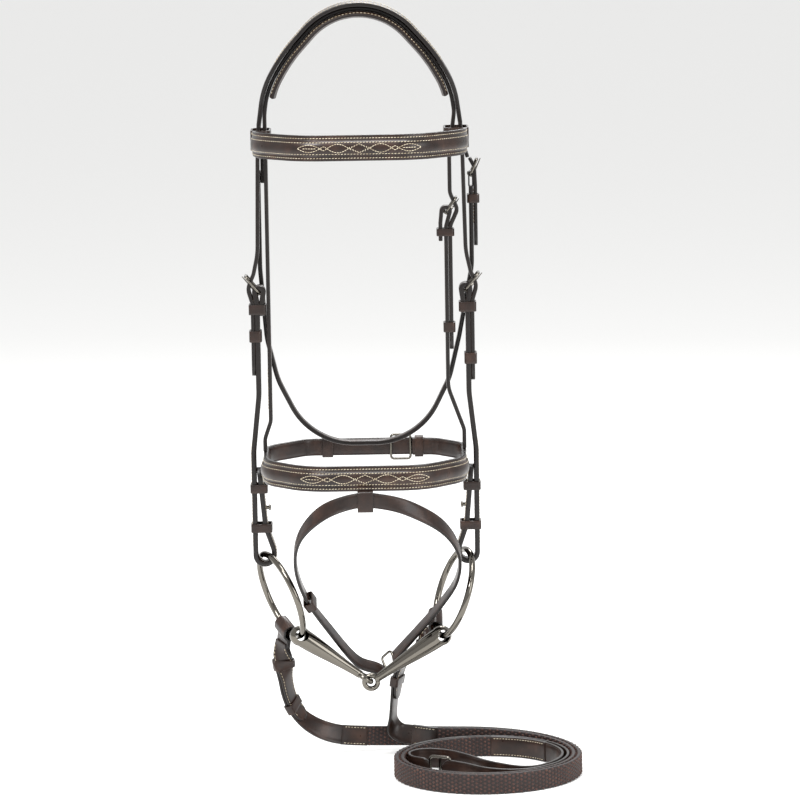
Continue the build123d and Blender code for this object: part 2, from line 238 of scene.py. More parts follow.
def run_xz(points, radii, y=0.0, side=1):
    """A strap route in a plane across the horse, its width along Y and its face outward."""
    return Route(bend([(side * x, y, z) for x, z in points], radii), (0, side, 0))


def run_xy(points, radii, z, across=(0, 0, -1)):
    """A band route at one height, standing on edge."""
    return Route(bend([(x, y, z) for x, y in points], radii), across)


def spline(points, steps=14):
    """A smooth line through all the given points."""
    p = [Vector(q) for q in points]
    p = [p[0] * 2 - p[1]] + p + [p[-1] * 2 - p[-2]]
    line = []
    for a, b, c, d in zip(p, p[1:], p[2:], p[3:]):
        for i in range(steps):
            t = i / steps
            line.append((b * 2 + (c - a) * t + (a * 2 - b * 5 + c * 4 - d) * t ** 2
                         + (b * 3 - a - c * 3 + d) * t ** 3) * 0.5)
    return line + [p[-2]]


def straight(start, end, across):
    """A route with no bend."""
    return Route([start, end], across)


corner = Route(bend([(0, 0, 0), (100, 0, 0), (100, 0, 100)], [40]), (0, 1, 0))
print("two 100 mm sides with a 40 mm bend measure", round(corner.length, 1), "mm")


# %% [markdown]
# ## Finishes
# Bridle leather is dyed dark brown, waxed on its grain face and burnished darker on its cut edges; a coat
# layer gives the waxed shine. Thread is waxed linen. The steel is polished stainless. The grips are rubber.
# Grain and pores are sized in millimetres through object coordinates, so nothing stretches along a strap.

# %% Node helper and the finishes
def srgb(text):
    """Hex colour to linear RGBA."""
    values = [int(text[i:i + 2], 16) / 255 for i in (1, 3, 5)]
    return [v / 12.92 if v <= 0.04045 else ((v + 0.055) / 1.055) ** 2.4 for v in values] + [1.0]


def node(tree, kind, inputs=(), **settings):
    """Add a node; inputs are values, or (node, output) pairs to link."""
    made = tree.nodes.new(kind)
    for key, value in settings.items():
        setattr(made, key, value)
    for name, value in dict(inputs).items():
        if isinstance(value, tuple) and hasattr(value[0], "outputs"):
            tree.links.new(value[0].outputs[value[1]], made.inputs[name])
        else:
            made.inputs[name].default_value = value
    return made


def new_material(name):
    """An empty principled material and its tree and shader."""
    mat = bpy.data.materials.new(name)
    mat.use_nodes = True
    return mat, mat.node_tree, mat.node_tree.nodes["Principled BSDF"]


def ramp(tree, factor, stops):
    """A colour ramp of hex stops."""
    made = node(tree, "ShaderNodeValToRGB", {"Fac": factor})
    while len(made.color_ramp.elements) < len(stops):
        made.color_ramp.elements.new(0.5)
    for element, (place, colour) in zip(made.color_ramp.elements, stops):
        element.position = place
        element.color = srgb(colour)
    return made


def leather(name, dark, mid, light, edge, roughness, coat):
    """Waxed leather: cloudy dye, fine grain, burnished edges. Pores are 0.55 mm apart, wrinkles 2.2 mm."""
    mat, tree, shader = new_material(name)
    place = node(tree, "ShaderNodeTexCoord")
    cloud = node(tree, "ShaderNodeTexNoise", {"Vector": (place, "Object"), "Scale": 1 / (16 * MM),
                                              "Detail": 5.0, "Roughness": 0.6})
    dye = ramp(tree, (cloud, "Fac"), [(0.32, dark), (0.52, mid), (0.72, light)])
    rim = node(tree, "ShaderNodeAttribute", attribute_name="rim")
    tone = node(tree, "ShaderNodeMix", {"Factor": (rim, "Fac"), "A": (dye, "Color"), "B": srgb(edge)},
                data_type="RGBA")
    pores = node(tree, "ShaderNodeTexVoronoi", {"Vector": (place, "Object"), "Scale": 1 / (0.55 * MM)})
    wrinkle = node(tree, "ShaderNodeTexNoise", {"Vector": (place, "Object"), "Scale": 1 / (2.2 * MM),
                                                "Detail": 4.0, "Roughness": 0.55})
    height = node(tree, "ShaderNodeMath", {0: (pores, "Distance"), 1: (wrinkle, "Fac")}, operation="ADD")
    bump = node(tree, "ShaderNodeBump", {"Height": (height, "Value"), "Strength": 0.35,
                                         "Distance": 0.055 * MM})
    rub = node(tree, "ShaderNodeTexNoise", {"Vector": (place, "Object"), "Scale": 1 / (7 * MM),
                                            "Detail": 3.0})
    shine = node(tree, "ShaderNodeMapRange", {"Value": (rub, "Fac"), "From Min": 0.3, "From Max": 0.7,
                                              "To Min": roughness - 0.06, "To Max": roughness + 0.09})
    tree.links.new(tone.outputs["Result"], shader.inputs["Base Color"])
    tree.links.new(shine.outputs["Result"], shader.inputs["Roughness"])
    tree.links.new(bump.outputs["Normal"], shader.inputs["Normal"])
    shader.inputs["Coat Weight"].default_value = coat
    shader.inputs["Coat Roughness"].default_value = 0.28
    shader.inputs["Specular IOR Level"].default_value = 0.26
    return mat


def thread_finish():
    """Waxed linen thread: pale, a little soiled where it was handled."""
    mat, tree, shader = new_material("waxed thread")
    place = node(tree, "ShaderNodeTexCoord")
    soil = node(tree, "ShaderNodeTexNoise", {"Vector": (place, "Object"), "Scale": 1 / (5 * MM),
                                             "Detail": 3.0})
    tone = ramp(tree, (soil, "Fac"), [(0.35, "#a8977a"), (0.6, "#d3c7ad")])
    tree.links.new(tone.outputs["Color"], shader.inputs["Base Color"])
    shader.inputs["Roughness"].default_value = 0.55
    shader.inputs["Sheen Weight"].default_value = 0.2
    return mat


def steel_finish():
    """Polished stainless steel: its colour darkened as painted shade for the dark surroundings it would
    reflect, with sharp reflections that fine wear breaks up.
    """
    mat, tree, shader = new_material("polished stainless")
    place = node(tree, "ShaderNodeTexCoord")
    wear = node(tree, "ShaderNodeTexNoise", {"Vector": (place, "Object"), "Scale": 1 / (4 * MM),
                                             "Detail": 6.0})
    shine = node(tree, "ShaderNodeMapRange", {"Value": (wear, "Fac"), "To Min": 0.05, "To Max": 0.14})
    # Painted shade: the base colour is far darker than bare stainless, standing in for dark surroundings
    # reflected in the polish.
    shader.inputs["Base Color"].default_value = srgb("#6c6861")
    shader.inputs["Metallic"].default_value = 1.0
    tree.links.new(shine.outputs["Result"], shader.inputs["Roughness"])
    return mat


def rubber_finish():
    """Moulded brown rubber: matt, dusty on top of its domes, and darkened between them as painted shade."""
    mat, tree, shader = new_material("rein rubber")
    place = node(tree, "ShaderNodeTexCoord")
    dust = node(tree, "ShaderNodeTexNoise", {"Vector": (place, "Object"), "Scale": 1 / (9 * MM),
                                             "Detail": 5.0})
    top = ramp(tree, (dust, "Fac"), [(0.3, "#2c1813"), (0.55, "#3f241c"), (0.75, "#553427")])
    # Painted shade: where this attribute is 1, on the grip between the domes, the colour is the near black
    # #190c09.
    rim = node(tree, "ShaderNodeAttribute", attribute_name="rim")
    tone = node(tree, "ShaderNodeMix", {"Factor": (rim, "Fac"), "A": (top, "Color"), "B": srgb("#190c09")},
                data_type="RGBA")
    fine = node(tree, "ShaderNodeTexNoise", {"Vector": (place, "Object"), "Scale": 1 / (0.4 * MM)})
    bump = node(tree, "ShaderNodeBump", {"Height": (fine, "Fac"), "Strength": 0.2, "Distance": 0.05 * MM})
    tree.links.new(tone.outputs["Result"], shader.inputs["Base Color"])
    tree.links.new(bump.outputs["Normal"], shader.inputs["Normal"])
    shader.inputs["Roughness"].default_value = 0.55
    return mat


HAVANA = leather("bridle leather", "#150d0a", "#241610", "#38251c", "#0e0806", 0.33, 0.25)
LINING = leather("lining leather", "#1a100c", "#2a1913", "#3c291f", "#140b08", 0.42, 0.15)
THREAD = thread_finish()
STEEL = steel_finish()
RUBBER = rubber_finish()


def dress(obj, mat, *replaced, body=None):
    """Give a piece in millimetres its finish, its size in metres and its body, and hide the nodes it stands
    for.
    """
    move_to(obj, coords(obj) * MM)
    obj.name = obj.name.replace(" ", "-")
    if mat is not None:
        obj.data.materials.clear()
        obj.data.materials.append(mat)
    if replaced:
        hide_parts(*replaced)
    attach(obj, body or body_of(nodes[replaced[0]])[0])
    return obj


# %% [markdown]
# ## The flat strap
# Leather straps are cut flat. A grid gives the strip, solidify its thickness and a bevel its rubbed corners.
# Each column of the grid then gets its own height: a crease line beside the edge, a slight crown, or the
# raised core of a browband. Tips are drawn in to a rounded point. Only then is the strip laid on its route.

# %% Strap
PLAIN = [(0.0, 0.12), (0.45, 0.08), (0.72, 0.0), (0.79, -0.16), (0.86, 0.0), (1.0, -0.12)]
RAISED = [(0.0, 2.3), (0.16, 2.2), (0.32, 1.85), (0.44, 1.25), (0.52, 0.6), (0.57, 0.0), (0.62, -0.2),
          (0.68, 0.0), (0.86, 0.0), (0.91, -0.15), (1.0, -0.1)]


def strap(name, route, width, thickness, section=PLAIN, tips=(0, 0), shape=None, start=0.0, end=None,
          lift=0.0, step=2.0):
    """A strip of leather laid along a route. section is (place across the half, extra height) pairs;
    tips are the lengths drawn in at each end; shape(along, across) may redraw the outline."""
    end = route.length if end is None else end
    columns = [-u for u, _ in section[::-1]] + [u for u, _ in section[1:]]
    heights = [h for _, h in section[::-1]] + [h for _, h in section[1:]]
    count = max(3, int((end - start) / step))
    obj = primitive("grid", name, x_subdivisions=count, y_subdivisions=len(columns) - 1, size=1)
    rows = coords(obj)
    mark = np.rint((rows[:, 1] + 0.5) * (len(columns) - 1)).astype(int)
    rows[:, 0] = start + (rows[:, 0] + 0.5) * (end - start)
    for column, u in enumerate(columns):
        rows[mark == column, 1] = u * width / 2
    move_to(obj, rows)
    bake(obj, "SOLIDIFY", thickness=thickness, offset=0)
    bake(obj, "BEVEL", width=min(0.55, thickness * 0.22), segments=2, limit_method="ANGLE",
         angle_limit=radians(50))
    rows = coords(obj)
    place = rows[:, 1] / (width / 2)
    extra = np.interp(np.abs(place), [u for u, _ in section], [h for _, h in section])
    fade = np.ones(len(rows))
    rim = np.clip((np.abs(place) - 0.93) / 0.06, 0, 1)
    if section is RAISED:
        fade = np.clip(np.minimum(rows[:, 0] - start, end - rows[:, 0]) / 26.0 - 0.35, 0, 1)
    face = rows[:, 2] > 0
    rows[face, 2] += extra[face] * fade[face]
    if section is not RAISED:
        rows[~face, 2] -= np.minimum(extra[~face], 0.1)
    for reach, distance in ((tips[0], rows[:, 0] - start), (tips[1], end - rows[:, 0])):
        if reach:
            inner = np.clip(distance / reach, 0, 1)
            rows[:, 1] *= 0.16 + 0.84 * np.sqrt(1 - (1 - inner) ** 2)
            rim = np.maximum(rim, (distance < 0.5) * 1.0)
    if shape:
        rows[:, 1] = shape(rows[:, 0], rows[:, 1])
    rows[:, 2] += lift
    obj.data.attributes.new("rim", "FLOAT", "POINT").data.foreach_set("value", rim)
    move_to(obj, route.lay(rows))
    return smooth(obj)


print("section points across half a strap:", len(PLAIN), "creased,", len(RAISED), "raised")

# %% [markdown]
# ## Thread
# A saddle stitch shows as a short slanted grain of thread. One stitch is modelled once, from a small sphere,
# and copied in the strap's flat coordinates, so a row only needs its distance from the edge. The rubber's
# domes are copied the same way. A texture could draw the stitches, but real ones catch the light.

# %% Stitches
TEMPLATES = {}


def template(kind):
    """Vertices and faces of a shape that is repeated many times, made once."""
    if kind not in TEMPLATES:
        if kind == "stitch":
            obj = primitive("uv_sphere", kind, segments=6, ring_count=4, radius=1)
            rows = coords(obj)[:, [2, 1, 0]]
            weld(move_to(obj, rows))
        else:
            obj = primitive("uv_sphere", kind, segments=6, ring_count=6, radius=1)
        rows = coords(obj)
        faces = [tuple(f.vertices) for f in obj.data.polygons]
        if kind == "pimple":
            faces = [f for f in faces if min(rows[i, 2] for i in f) > -0.1]
        TEMPLATES[kind] = (rows, faces)
        bpy.data.objects.remove(obj)
    return TEMPLATES[kind]


def copies(name, kind, marks, size):
    """Many copies of a template in flat coordinates; a mark is (along, across, out, angle, flip)."""
    rows, faces = template(kind)
    used = sorted({i for f in faces for i in f})
    slot = {old: new for new, old in enumerate(used)}
    rows = rows[used] * np.array(size)
    faces = [[slot[i] for i in f] for f in faces]
    all_rows, all_faces = [], []
    for along, across, out, angle, flip in marks:
        c, s = cos(angle), sin(angle)
        x, y, z = rows[:, 0] * c - rows[:, 1] * s, rows[:, 0] * s + rows[:, 1] * c, rows[:, 2]
        if flip:
            y, z = -y, -z
        base = len(all_rows) * len(rows)
        all_rows.append(np.stack([x + along, y + across, z + out], axis=1))
        all_faces += [[base + i for i in f] for f in faces]
    mesh = bpy.data.meshes.new(name)
    mesh.from_pydata(np.vstack(all_rows).tolist(), [], all_faces)
    mesh.shade_smooth()
    return add(name, mesh)


def row_of(start, end, across, out, pitch=2.5, angle=0.09, flip=False):
    """Stitch marks in a straight row."""
    count = max(1, int((end - start) / pitch))
    return [(start + (i + 0.5) * (end - start) / count, across, out, angle, flip) for i in range(count)]


def along_curve(points, out, pitch=2.0):
    """Stitch marks that follow a drawn line of (along, across) points."""
    line = Route([(x, y, 0) for x, y in points], (0, 0, 1))
    count = max(2, round(line.length / pitch))
    marks = []
    for i in range(count):
        s = (i + 0.5) * line.length / count
        x, y = (float(np.interp(s, line.s, line.at[:, k])) for k in (0, 1))
        dx, dy = (float(np.interp(s, line.s, line.along[:, k])) for k in (0, 1))
        marks.append((x, y, out(y) if callable(out) else out, np.arctan2(dy, dx), False))
    return marks


def stitching(name, route, marks, length=1.8, width=0.5):
    """Thread laid in flat rows and carried to the strap's line."""
    obj = copies(name, "stitch", marks, (length / 2, width / 2, width / 2))
    move_to(obj, route.lay(coords(obj)))
    obj.data.materials.append(THREAD)
    return obj


print("one stitch has", len(template("stitch")[1]), "faces")

# %% [markdown]
# ## Keepers, bars and turned parts
# A keeper is a leather band closed round the straps it holds. Buckles are bent from round bar, so they are a
# curve with a round section, made a mesh. Turned parts are a profile carried round an axis, and slots are cut
# with a box, as a saddler's punch would.

# %% Bands, rods, turned parts and cuts
def band(name, route, at, room, height, thickness=1.25, offset=(0.0, 0.0), radius=1.0):
    """A keeper or runner: a leather band round a strap, at a distance along its route."""
    a, b = room[0] / 2 + thickness / 2, room[1] / 2 + thickness / 2
    r = radius + thickness / 2
    loop = []
    corners = ((a - r, b - r, 0), (-a + r, b - r, 90), (-a + r, -b + r, 180), (a - r, -b + r, 270))
    for cy, cz, first in corners:
        turns = [radians(first + k) for k in range(0, 91, 15)]
        loop += [(cy + r * cos(turn), cz + r * sin(turn)) for turn in turns]
    loop.append(loop[0])
    loop = np.array(loop) + np.array(offset)
    obj = primitive("grid", name, x_subdivisions=len(loop) - 1, y_subdivisions=4, size=1)
    rows = coords(obj)
    mark = np.rint((rows[:, 0] + 0.5) * (len(loop) - 1)).astype(int)
    across = rows[:, 1].copy()
    rows[:, 0] = at + across * height
    rows[:, 1], rows[:, 2] = loop[mark, 0], loop[mark, 1]
    weld(move_to(obj, route.lay(rows)), 0.01)
    bake(obj, "SOLIDIFY", thickness=thickness, offset=0)
    bake(obj, "BEVEL", width=0.4, segments=2, limit_method="ANGLE", angle_limit=radians(60))
    return smooth(obj)


def rod(name, points, radii, thick, closed=False, taper=()):
    """Round bar bent to a line: a curve with a round section, turned into a mesh."""
    if closed:
        half = (Vector(points[0]) + Vector(points[-1])) / 2
        line = bend([half] + list(points) + [half], radii, 0.5)[:-1]
    else:
        line = bend(points, radii, 0.5)
    curve = bpy.data.curves.new(name, "CURVE")
    curve.dimensions = "3D"
    curve.bevel_depth = thick
    curve.bevel_resolution = 4
    curve.use_fill_caps = True
    part = curve.splines.new("POLY")
    part.points.add(len(line) - 1)
    for point, p in zip(part.points, line):
        point.co = (*p, 1)
    for k, value in enumerate(taper):
        part.points[-1 - k].radius = value
    part.use_cyclic_u = closed
    select(add(name, curve))
    bpy.ops.object.convert(target="MESH")
    return smooth(bpy.context.object, 50)


def take_out(obj, tool):
    """Cut one mesh with another, then throw the tool away."""
    bake(obj, "BOOLEAN", operation="DIFFERENCE", solver="EXACT", object=tool)
    bpy.data.objects.remove(tool)
    return obj


def cut(obj, centre, size):
    """Take a box out of a piece, such as the slot a buckle's tongue comes through."""
    tool = primitive("cube", "cutter", size=1)
    return take_out(obj, move_to(tool, coords(tool) * np.array(size) + np.array(centre)))


def lathe(name, route, profile, around=40):
    """A turned shape: (distance, radius) pairs carried round a straight route."""
    obj = primitive("grid", name, x_subdivisions=len(profile) - 1, y_subdivisions=around, size=1)
    rows = coords(obj)
    ring = np.rint((rows[:, 0] + 0.5) * (len(profile) - 1)).astype(int)
    angle = (rows[:, 1] + 0.5) * 2 * pi
    table = np.array(profile)
    rows = np.stack([table[ring, 0], table[ring, 1] * np.cos(angle), table[ring, 1] * np.sin(angle)], axis=1)
    return smooth(weld(move_to(obj, route.lay(rows)), 0.02), 50)


MIDWAY = 20                             # how far along its short route a keeper's middle is


def upright(x, y, z, side=1):
    """A short route straight down through a keeper's middle."""
    return straight((x, y, z + MIDWAY), (x, y, z - MIDWAY), (0, side, 0))


def buckle(name, bar, far, width, thick, level=(0, 1, 0)):
    """A buckle frame bent from round bar, with its cross bar at bar."""
    bar, far, level = Vector(bar), Vector(far), Vector(level).normalized()
    half = level * (width / 2 + thick)
    return rod(name, [bar - half, far - half, far + half, bar + half], [2.4] * 4, thick, closed=True)


def prong(name, bar, far, reach, level=(0, 1, 0), outward=None, lift=2.45):
    """A buckle's tongue: hooked round the bar and lying over the far end of the frame."""
    bar, far = Vector(bar), Vector(far)
    along = (far - bar).normalized()
    over = along.cross(Vector(level)).normalized()
    if over.dot(Vector(outward or (bar.x, 0, 0))) < 0:
        over = -over
    points = [bar - over * 2.1 + along * 0.6, bar - over * 1.6 - along * 1.9, bar + over * lift - along * 1.7,
              far + over * lift + along * reach]
    return rod(name, points, [1.3, 1.5], 0.98, taper=(0.35, 0.8, 0.95))


print("ready: keepers, bent bar, turned parts, cuts, buckles and tongues")


# %% [markdown]
# ## Headpiece and its pad
# The crown is an arch with three bends to each side, made once for every layer: each layer is the same arch
# moved outward by its own distance. The headpiece narrows over the shoulder, where it is slit into the billet
# of the cheekpiece and the strap of the throatlash. The pad under it is padded leather with a stitched rim.

# %% Crown, pad, billets and splits
def arch(out, end=0.0):
    """Corners of the arch's near half; out is a layer's distance from the poll, end its straight tail."""
    corners = [(20.9 + 0.445 * out, out), (52.0 + 0.813 * out, -34.6 + 0.591 * out),
               (65.5 + 0.963 * out, -58.0 + 0.332 * out)]
    if end:
        x, z = corners[-1]
        corners.append((x + 0.139 * end, z - 0.990 * end))
    return corners


def over_poll(points):
    """The off half, mirrored, and the near half as one line."""
    return [(-x, z) for x, z in reversed(points)] + list(points)


def both_ways(radii):
    """The bend radii that go with over_poll."""
    return list(reversed(radii)) + list(radii)


def arch_radii(out):
    """Bend radii of a layer of the arch."""
    return [47.0 + out, 110.0 + out, 58.0 + out]


PAD = [(0.0, 0.0), (0.5, -0.05), (0.7, -0.35), (0.78, -0.9), (0.82, -1.25), (0.86, -1.1), (1.0, -1.5)]
pad_line = run_xz(over_poll(arch(2.6, 26.0)), both_ways(arch_radii(2.6)), POLL_Y)
pad = strap("headpiece pad", pad_line, 46.0, 5.2, PAD, start=21.1, end=pad_line.length - 21.1)
dress(pad, LINING, "headpiece_pad")
pad_rows = [m for y in (-20.3, 20.3) for m in row_of(24, pad_line.length - 24, y, 1.75, 2.8)]
dress(stitching("pad stitching", pad_line, pad_rows), None, body="bridle")

head_line = run_xz(over_poll(arch(10.6, 30.0)), both_ways(arch_radii(10.6)), POLL_Y)
SPLIT = arch(10.6, 30.0)[-1]
CROWN_WIDE = 38.0
SLIT_FRONT, SLIT_BACK = -12.35, 16.0    # the crown's edges where it is slit into its two straps


def to_the_slits(along, across):
    """Outline of the crown: its full width over the poll, drawn in to the two straps at its ends."""
    near_end = np.minimum(along, head_line.length - along)
    t = np.clip(1 - near_end / 48.0, 0, 1)
    t = t * t * (3 - 2 * t)
    share = (across + CROWN_WIDE / 2) / CROWN_WIDE
    return across * (1 - t) + (share * (SLIT_BACK - SLIT_FRONT) + SLIT_FRONT) * t


head_parts = [strap("crown", head_line, CROWN_WIDE, STOUT, shape=to_the_slits)]
BILLET_TIP = {-1: -284.0, 1: -290.0}
FIRST_HOLE, HOLE_PITCH = -232.0, 8.5
for side in SIDES:
    billet_line = run_xz([SPLIT, (SPLIT[0] + 1.4, -112.0), (82.8, -186.0), (86.4, -202.5), (91.2, -213.8),
                          (87.55, -226.0), (87.55, BILLET_TIP[side])], [40, 60, 12, 10, 5], 0.0, side)
    billet = strap("billet", billet_line, CHEEK_WIDE, LIGHT, tips=(0, 9), start=-1.0, step=1.5)
    cut(billet, (side * 90.0, 0, -211.9), (16, 3.2, 21))
    for k in range(6):
        z = FIRST_HOLE - HOLE_PITCH * k
        if z > BILLET_TIP[side] + 12:
            hole = lathe("hole", straight((side * 92.0, 0, z), (side * 83.0, 0, z), (0, 1, 0)),
                         [(0, 0), (0, 1.25), (9, 1.25), (9, 0)], 16)
            take_out(billet, hole)
    below = [(85.6, -113.0)] if side > 0 else [(78.0, -110.0), (78.0, -131.0)]
    split_line = run_xz([SPLIT, (SPLIT[0] + 0.8, -97.0)] + below, [30, 20], THROAT_Y, side)
    head_parts += [billet, strap("split", split_line, SLIM, LIGHT, start=-1.0)]
dress(merge("headpiece strap", head_parts), HAVANA, "headpiece_strap")
head_rows = [m for y in (-16.8, 16.8) for m in row_of(52, head_line.length - 52, y, 1.75, 2.6)]
dress(stitching("headpiece stitching", head_line, head_rows), None, body="bridle")
print("crown over the poll", round(head_line.length), "mm")

# %% [markdown]
# ## Sliphead and noseband hangers
# A narrow strap runs between pad and headpiece and carries the noseband. On the off side it reaches down to a
# stitched fold; on the near side it goes through a small buckle on the hanger, so the noseband can be raised.

# %% Sliphead, hangers, buckle, keeper and runner
HANG, BILLET_X = 67.4, 70.75
slip_line = run_xz([(-74.9, -312.0), (-74.9, -115.0)] + over_poll(arch(7.05, 20.0))
                   + [(BILLET_X, -108.0), (BILLET_X, -140.0), (BILLET_X + 6.0, -153.0), (BILLET_X, -166.0),
                      (BILLET_X, -265.0)],
                   [40, 40] + both_ways(arch_radii(7.05)) + [20, 30, 12, 6, 12])
sliphead = strap("sliphead strap", slip_line, SLIM, LIGHT, tips=(0, 8))
cut(sliphead, (BILLET_X + 3.5, 0, -148.5), (14, 3.0, 17))
dress(sliphead, HAVANA, "sliphead")

tab_line = run_xz([(74.9, -312.0), (74.9, -321.0), (FACE_X, -335.0), (FACE_X, -345.0)], [10, 10], 0.0, -1)
dress(strap("off hanger tab", tab_line, SLIM, LIGHT, start=-0.5), HAVANA, "off_hanger_tab")
dress(stitching("off tab stitching", slip_line, [m for y in (-3.4, 3.4) for m in row_of(1, 34, y, 1.6)]),
      None, body="bridle")

bar, far = (HANG + 0.6, 0, -154.2), (HANG + 8.4, 0, -143.4)
hanger_line = run_xz([(HANG - 4.4, -178.0), (HANG - 4.4, -164.0), (bar[0] - 3.75, -151.1),
                      (bar[0] + 3.75, -151.1), (HANG, -167.0), (HANG, -296.0), (FACE_X, -330.0),
                      (FACE_X, -345.0)], [6, 3.1, 3.1, 10, 30, 14])
hanger = strap("near hanger", hanger_line, SLIM, LIGHT, step=1.0)
cut(hanger, (bar[0] + 4.5, 0, -151.7), (9, 3.0, 11))
dress(hanger, HAVANA, "near_hanger")
dress(buckle("sliphead buckle", bar, far, 11.5, 0.9), STEEL, "sliphead_buckle")
dress(prong("sliphead tongue", bar, far, 0.2), STEEL, "sliphead_tongue")
middle = (HANG - 1.5 + BILLET_X + 1.5) / 2
room = BILLET_X - HANG + 3.7
dress(band("sliphead keeper", upright(middle - 2.2, 0, -171.0), MIDWAY, (10.7, room + 4.6), 6.0),
      HAVANA, "sliphead_keeper")
dress(band("sliphead runner", upright(middle, 0, -247.0), MIDWAY, (10.7, room), 8.0),
      HAVANA, "sliphead_runner")
print("sliphead", round(slip_line.length), "mm, near hanger", round(hanger_line.length), "mm")

# %% [markdown]
# ## Browband and noseband
# Both are the same make: a flat band with a raised, padded core, so one section serves both. The core is
# stitched down along its sides, and the fancy stitching on it is a drawing: lenses, knots and a diamond,
# followed by thread. Height there is read from the band's own section, so the thread lies on the leather.

# %% Raised bands with fancy stitching
def on_core(width, base):
    """Height of a raised band's face at a distance from its middle."""
    return lambda y: base + float(np.interp(abs(y) / (width / 2), [u for u, _ in RAISED],
                                            [h for _, h in RAISED])) + 0.08


def fancy(middle, reach, high, out):
    """The stitched ornament, drawn to both sides of the middle of the band."""
    def swell(a, b, h, k):
        return [(a + (b - a) * i / 12, k * h * sin(pi * i / 12)) for i in range(13)]

    drawn = [[(0, high), (8, 0), (0, -high), (-8, 0), (0, high)]]
    scale = reach / 47.0
    for way in (-1, 1):
        for k in (-1, 1):
            drawn += [[(way * x, y) for x, y in swell(8, 25 * scale, high, k)],
                      [(way * x, y) for x, y in swell(25 * scale, 30 * scale, high * 0.42, k)],
                      [(way * x, y) for x, y in swell(30 * scale, reach, high * 0.85, k)]]
        drawn.append([(way * 33 * scale, 0), (way * (reach - 4), 0)])
    return [m for line in drawn for m in along_curve([(middle + x, y) for x, y in line], out)]


def raised_band(name, line, width, node_name, reach, shape=None):
    """A browband or noseband with its stitched rows and ornament."""
    obj = strap(name, line, width, STOUT, RAISED, shape=shape, lift=-0.8)
    dress(obj, HAVANA, node_name)
    out = on_core(width, 0.9)
    marks = fancy(line.length / 2, reach, width * 0.165, out)
    for k in (-1, 1):
        marks += row_of(14, line.length - 14, k * width * 0.385, 0.98, 2.4, 0.12)
        marks += row_of(30, line.length - 30, k * width * 0.225, out(width * 0.225), 2.4, 0.12)
    obj = stitching(name + " stitching", line, marks)
    return dress(obj, None, body="bridle")


brow_half = [(46.0, -92.0), (82.6, -52.0), (84.0, -9.6)]
brow_line = run_xy(brow_half[::-1] + [(-x, y) for x, y in brow_half], [50, 42, 42, 50], BROW_Z)


def slim_ends(along, across):
    """The browband narrows from 20 to 16 mm where its loops are."""
    t = np.clip(1 - np.minimum(along, brow_line.length - along) / 40.0, 0, 1)
    return across * (1 - 0.2 * t)


raised_band("raised browband", brow_line, BAND_WIDE, "browband", 47.0, slim_ends)
for side, inner in ((-1, 72.0), (1, 68.0)):
    name = SIDES[side]
    dress(band(f"{name} browband loop", upright(side * (inner + 85.0) / 2, 7.5, BROW_Z, side), MIDWAY,
               (31.0, 85.0 - inner), 16.0, 1.5, radius=4.0), HAVANA, f"{name}_browband_loop")

nose_half = [(46.0, -84.0), (FACE_X, -46.0), (FACE_X, 12.0)]
nose_line = run_xy(nose_half[::-1] + [(-x, y) for x, y in nose_half], [42, 42, 42, 42], NOSE_Z)
raised_band("raised noseband", nose_line, BAND_WIDE, "noseband", 50.0)
print("browband", round(brow_line.length), "mm, noseband front", round(nose_line.length), "mm")

# %% [markdown]
# ## Chin straps
# Behind, the noseband closes with a plain strap through a buckle. The off strap lies outside the near one;
# its tip is held by a fixed keeper, and a runner slides along it.

# %% Chin straps, buckle, tongue, keeper and runner
INNER_Y = 74.0
OUTER_Y = INNER_Y + STOUT + 0.35
off_chin = run_xy([(-FACE_X, 12.0), (-FACE_X, 45.0), (-48.0, OUTER_Y), (55.0, OUTER_Y)], [34, 16], NOSE_Z)
near_chin = run_xy([(FACE_X, 12.0), (FACE_X, 46.0), (57.0, INNER_Y), (38.5, INNER_Y)], [26, 14], NOSE_Z,
                   (0, 0, 1))


def wide_at_the_band(along, across):
    """A chin strap starts at the noseband's width and soon narrows to its own."""
    return across * (1 + 0.4 * np.clip(1 - along / 26.0, 0, 1))


def chin_run(x, y):
    """A short route along the chin, through a keeper's middle."""
    return straight((x - MIDWAY, y, NOSE_Z), (x + MIDWAY, y, NOSE_Z), (0, 0, 1))


dress(strap("off chin strap", off_chin, CHIN_WIDE, STOUT, tips=(0, 9), start=-0.5, shape=wide_at_the_band),
      HAVANA, "off_chin_strap")
dress(strap("near chin strap", near_chin, CHIN_WIDE, STOUT, start=-0.5, shape=wide_at_the_band),
      HAVANA, "near_chin_strap")
for line, name, rest in ((off_chin, "off", 30), (near_chin, "near", 70)):
    marks = [m for k in (-1, 1) for m in row_of(2, rest, k * 4.9, 1.78)]
    dress(stitching(f"{name} chin stitching", line, marks), None, body="bridle")
dress(buckle("chin buckle", (37.0, INNER_Y, NOSE_Z), (21.0, INNER_Y, NOSE_Z), 18.0, 1.0, (0, 0, 1)),
      STEEL, "chin_buckle")
dress(rod("chin tongue", [(38.6, 74.6, NOSE_Z), (37.4, 80.9, NOSE_Z), (20.2, 80.9, NOSE_Z)], [1.6], 0.98,
          taper=(0.35, 0.8)), STEEL, "chin_tongue")
dress(band("chin keeper", chin_run(44.0, (INNER_Y + OUTER_Y) / 2), MIDWAY,
           (14.7, OUTER_Y - INNER_Y + 4.1), 7.0), HAVANA, "chin_keeper")
dress(band("chin runner", chin_run(-31.0, OUTER_Y), MIDWAY, (14.7, 4.5), 9.0), HAVANA, "chin_runner")
print("chin straps", round(off_chin.length), "and", round(near_chin.length), "mm")

# %% [markdown]
# ## Cheekpieces
# Each cheekpiece is one strap: folded round the buckle's bar at the top, then down to the ring, round its
# wire and stitched back to itself. Drawing it as one line is how it is really made, and the folds come out
# right. Two separate runs and a bent piece would need less arithmetic, but they would show joints.

